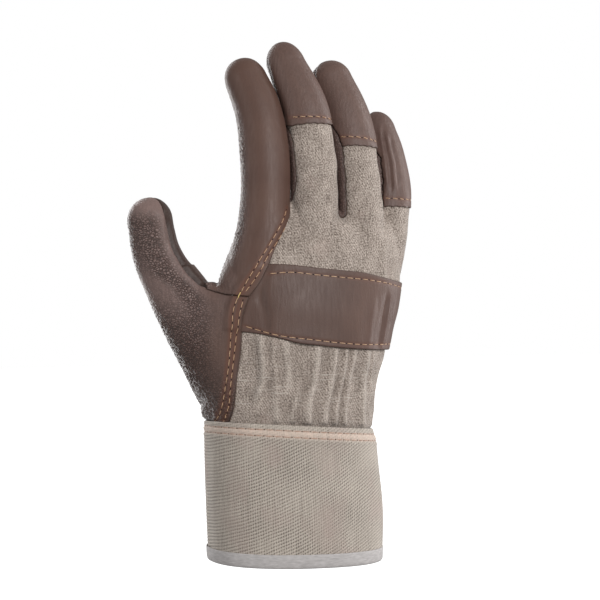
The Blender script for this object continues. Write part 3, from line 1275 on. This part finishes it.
ring = cuff_grid([35.0], 0, CUFF_SIDES)[0]
steps = np.linalg.norm(np.diff(np.vstack([ring, ring[:1]])[:, :2], axis=0), axis=1)
around = np.append(0, np.cumsum(steps))[:-1]
in_view = across_view(ring)
turned = np.abs(np.diff(np.append(in_view, in_view[0]))) / steps
climb = np.append(0, np.cumsum(straight(RIB_SLOPE, in_view) * np.clip(turned, 0.35, 1) * steps))
climb = climb[:-1] * round(climb[-1] / RIB_PITCH) * RIB_PITCH / climb[-1]
foot, top_edge = CUFF_FOOT + HEM_TILT * ring[:, 0], CUFF_TOP + waist_rise(ring)
share = np.linspace(0, 1, CUFF_RINGS)[:, None]
heights = foot * (1 - share) + top_edge * share
flat = np.stack([np.broadcast_to(around, heights.shape), heights, 0 * heights], -1)
wobble = 0.35 * np.sin(around / 3.1 + heights / 5.0)
rib = 0.5 + 0.5 * np.sin(2 * np.pi * (heights - climb) / RIB_PITCH + wobble)
below_top = top_edge - heights
in_rows = 0.25 * fade(below_top, 6, 8)
rib_height = RIB_HEIGHT * (1 - in_rows) * (1 + 0.9 * fade(in_view, -44, -37))
sway = cuff_sway(heights, ring)
canvas = CANVAS_TOP + (CANVAS - CANVAS_TOP) * ease(below_top, 0, 9)
woven = rib_height * (rib - 0.5) + sway + rounded_edge(below_top, 0.5, 0.9)
outer_grid = cuff_grid(heights, woven, CUFF_SIDES)
inner_grid = cuff_grid(heights[::INNER_STEP], (sway - canvas)[::INNER_STEP], CUFF_SIDES)
inner_grid[-1, :, 2] = heights[-1]
band = fade(np.abs(below_top - straight(MIDDLE_OF_ROWS, ring[:, 0])), 1.0, 2.6)
fields = {"cloth": flat, "rib": rib * (1 - in_rows) + 0.85 * in_rows, "band": band}
for key, values in fields.items():
    both = np.concatenate([values, values[::INNER_STEP][::-1]])
    fields[key] = both.reshape(-1, *values.shape[2:])
cuff_wall = tube(np.vstack([outer_grid, inner_grid[::-1]]))
canvas_cuff = mesh_object("canvas_cuff", *cuff_wall, undyed_canvas, fields)
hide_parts("cuff")
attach(canvas_cuff, "root")

# The hem: a strip of pale cotton tape folded round the cuff's lower edge and sewn through. Its section is the
# height and the offset from the cuff's outer face, round the hem from the outside to the inside.
TAPE_SECTION = [
    (7.0, 0.15), (6.9, 0.4), (6.3, 0.5), (4, 0.52), (2, 0.5), (0.9, 0.35), (0.2, -0.1), (0, -0.6), (0, -1.2),
    (0.2, -2.0), (0.9, -2.6), (2, -2.8), (4, -2.8), (6.3, -2.75), (6.9, -2.55), (7.0, -1.95), (4, -1.85),
    (1.25, -1.85), (1.2, -0.85), (1.25, 0.12), (4, 0.12)]
TAPE_SIDES = 320
TAPE_WAVES = 9
TAPE_DARK, TAPE_LIGHT = (0.39, 0.368, 0.36), (0.525, 0.497, 0.488)
pale_tape, tree, surface, place = new_finish("pale_tape")
threads = noise(tree, stretched(tree, place, (350, 350, 1500)), 1.0)
finished(tree, surface, {
    "Base Color": mixed(tree, ranged(tree, threads, 0.3, 0.7), TAPE_DARK, TAPE_LIGHT), "Roughness": 0.85,
    "Specular IOR Level": 0.25}, threads, 0.00012)
tape_rings = []
for height, offset in TAPE_SECTION:
    ring = cuff_grid([height], offset, TAPE_SIDES)[0]
    ring[:, 2] += HEM_TILT * ring[:, 0]
    if offset > 0.3 and height > 5:
        ring[:, 2] += 0.12 * np.sin(np.arange(TAPE_SIDES) * 2 * np.pi * TAPE_WAVES / TAPE_SIDES)
    tape_rings.append(ring)
hem_tape = mesh_object("hem_tape_cloth", *tube(np.array(tape_rings)), pale_tape)
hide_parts("hem_tape")
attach(hem_tape, "root")

# The topstitching: golden orange thread in short straight stitches, sunk at each end into a needle hole. A
# yellow tack locks the rows where they cross the web seam, and pink thread holds the cuff.
STITCH_PITCH = 4.4
STITCH_LENGTH = 3.2
THREAD_RADIUS = 0.18
STITCH_POINTS = np.linspace(0, 1, 9)
HOLE_LENGTH, HOLE_WIDTH = 0.42, 0.34
HOLE_LIFT = 0.045
HOLE_SIDES = 9
WEB_TACK = [(-35.6, 131.4), (-33.8, 135.6)]
CUFF_ROW_SIDES = 600


def thread_finish(name, dark, light):
    material, tree, surface, place = new_finish(name)
    twist = noise(tree, place, 2600.0, 1.0)
    colour = mixed(tree, ranged(tree, twist, 0.35, 0.65), dark, light)
    finished(tree, surface, {"Base Color": colour, "Roughness": 0.5, "Sheen Weight": 0.2}, twist, 0.00008)
    return material


def hole_finish(name, colour):
    material, tree, surface, _ = new_finish(name)
    finished(tree, surface, {"Base Color": (*colour, 1), "Roughness": 0.9})
    return material


orange_thread = thread_finish("orange_thread", (0.42, 0.23, 0.12), (0.70, 0.48, 0.29))
yellow_thread = thread_finish("yellow_thread", (0.62, 0.42, 0.14), (0.86, 0.66, 0.26))
pink_thread = thread_finish("pink_thread", (0.35, 0.19, 0.13), (0.50, 0.32, 0.24))
leather_hole = hole_finish("leather_hole", (0.012, 0.007, 0.005))
canvas_hole = hole_finish("canvas_hole", (0.15, 0.09, 0.06))


def laid_on(skin, row, step=0.4):
    """The places and normals where points along a row in x and z meet a skin, seen from the hand's back."""
    points, faces = skin
    skin_tree = BVHTree.FromPolygons(points.tolist(), faces.tolist())
    hits = (skin_tree.ray_cast(Vector((x, -200, z)), Vector((0, 1, 0)))[:2] for x, z in drawn(row, step))
    places, normals = zip(*[hit for hit in hits if hit[0] is not None])
    return np.array(places), np.array(normals)


def tube_along(path, normals, radii, sides=7):
    """Rings of points round a path."""
    along = unit(np.gradient(path, axis=0))
    side = unit(np.cross(along, normals))
    up = np.cross(side, along)
    angle = whole_turn(sides)[None, :, None]
    spokes = side[:, None] * np.cos(angle) + up[:, None] * np.sin(angle)
    return path[:, None] + radii[:, None, None] * spokes


def sewn(name, places, normals, thread, pitch=STITCH_PITCH, length=STITCH_LENGTH, radius=THREAD_RADIUS,
         start=0.8, lean=0.0, hole=leather_hole):
    """Stitches along a line on the surface, and between them the holes that the needle left. Each stitch
    leans to one side of the line and to the other at its ends."""
    run = np.append(0, np.cumsum(np.linalg.norm(np.diff(places, axis=0), axis=1)))
    rise = np.sin(np.pi * STITCH_POINTS) ** 0.5
    angle = whole_turn(HOLE_SIDES)[:, None]
    stitches, holes = [], []

    def along(at, values):
        return np.column_stack([np.interp(at, run, values[:, k]) for k in range(3)])

    for k in range(int((run[-1] - start - length) / pitch) + 1):
        first = start + k * pitch + 0.12 * math.sin(k * 2.4)
        at = first + length * STITCH_POINTS
        path, up = along(at, places), unit(along(at, normals))
        beside = np.cross(path[-1] - path[0], up[4]) / np.linalg.norm(path[-1] - path[0])
        path = path + up * (radius * (1.25 * rise - 0.75))[:, None]
        path = path + beside * lean * (2 * STITCH_POINTS - 1)[:, None]
        stitches.append(tube_along(path, up, radius * (0.55 + 0.45 * rise)))
        end = first + (length + pitch) / 2
        before, centre, after = along([end - 0.2, end, end + 0.2], places)
        forward, up = after - before, along([end], normals)[0]
        forward = forward / (np.linalg.norm(forward) + 1e-9)
        ring = forward * np.cos(angle) * HOLE_LENGTH + np.cross(forward, up) * np.sin(angle) * HOLE_WIDTH
        holes.append(centre + up * HOLE_LIFT + ring)
    hole_faces = np.arange(len(holes) * HOLE_SIDES).reshape(-1, HOLE_SIDES)
    for made in (mesh_object(name, *joined(stitches), thread),
                 mesh_object(name + "_holes", np.vstack(holes), hole_faces, hole)):
        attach(made, "root")


for part, rows, skin, start in (
        ("index", INDEX_ROWS, index_skin, 1.5), ("thumb", THUMB_ROWS, thumb_skin, 0.5)):
    for key, row in rows.items():
        sewn(f"{part}_row_{key}", *laid_on(skin, row), orange_thread, start=start)
index_points, thumb_points = index_skin[0], thumb_skin[0]
web_faces = np.vstack([index_skin[1], thumb_skin[1] + len(index_points)])
web_skin = np.vstack([index_points, thumb_points]), web_faces
web_line = laid_on(web_skin, WEB_TACK, 0.3)
sewn("web_tack", *web_line, yellow_thread, pitch=4.2, length=3.6, radius=0.28, start=0.2)
for key, row in STRAP_ROWS.items():
    sewn(f"strap_row_{key}", *laid_on(strap_skin, row), orange_thread)
for key, row in TIP_ROWS.items():
    sewn(f"{key}_tip_row", *laid_on(tip_skins[key], row), orange_thread, pitch=3.9, length=2.6, lean=0.22)
ring = cuff_grid([60.0], 0, CUFF_ROW_SIDES)[0]
round_trip = np.append(np.arange(CUFF_ROW_SIDES), 0)
for key, row in CUFF_ROWS.items():
    heights = (CUFF_TOP + waist_rise(ring) - below_edge(row, ring))[None]
    sway = cuff_sway(heights, ring)
    places, inside = (cuff_grid(heights, offset, CUFF_ROW_SIDES)[0] for offset in (sway + 0.08, sway - 1))
    normals = unit(places - inside)[round_trip]
    sewn(f"cuff_row_{key}", places[round_trip], normals, pink_thread, pitch=4.6, length=3.5, radius=0.2,
         hole=canvas_hole)

bpy.context.view_layer.update()
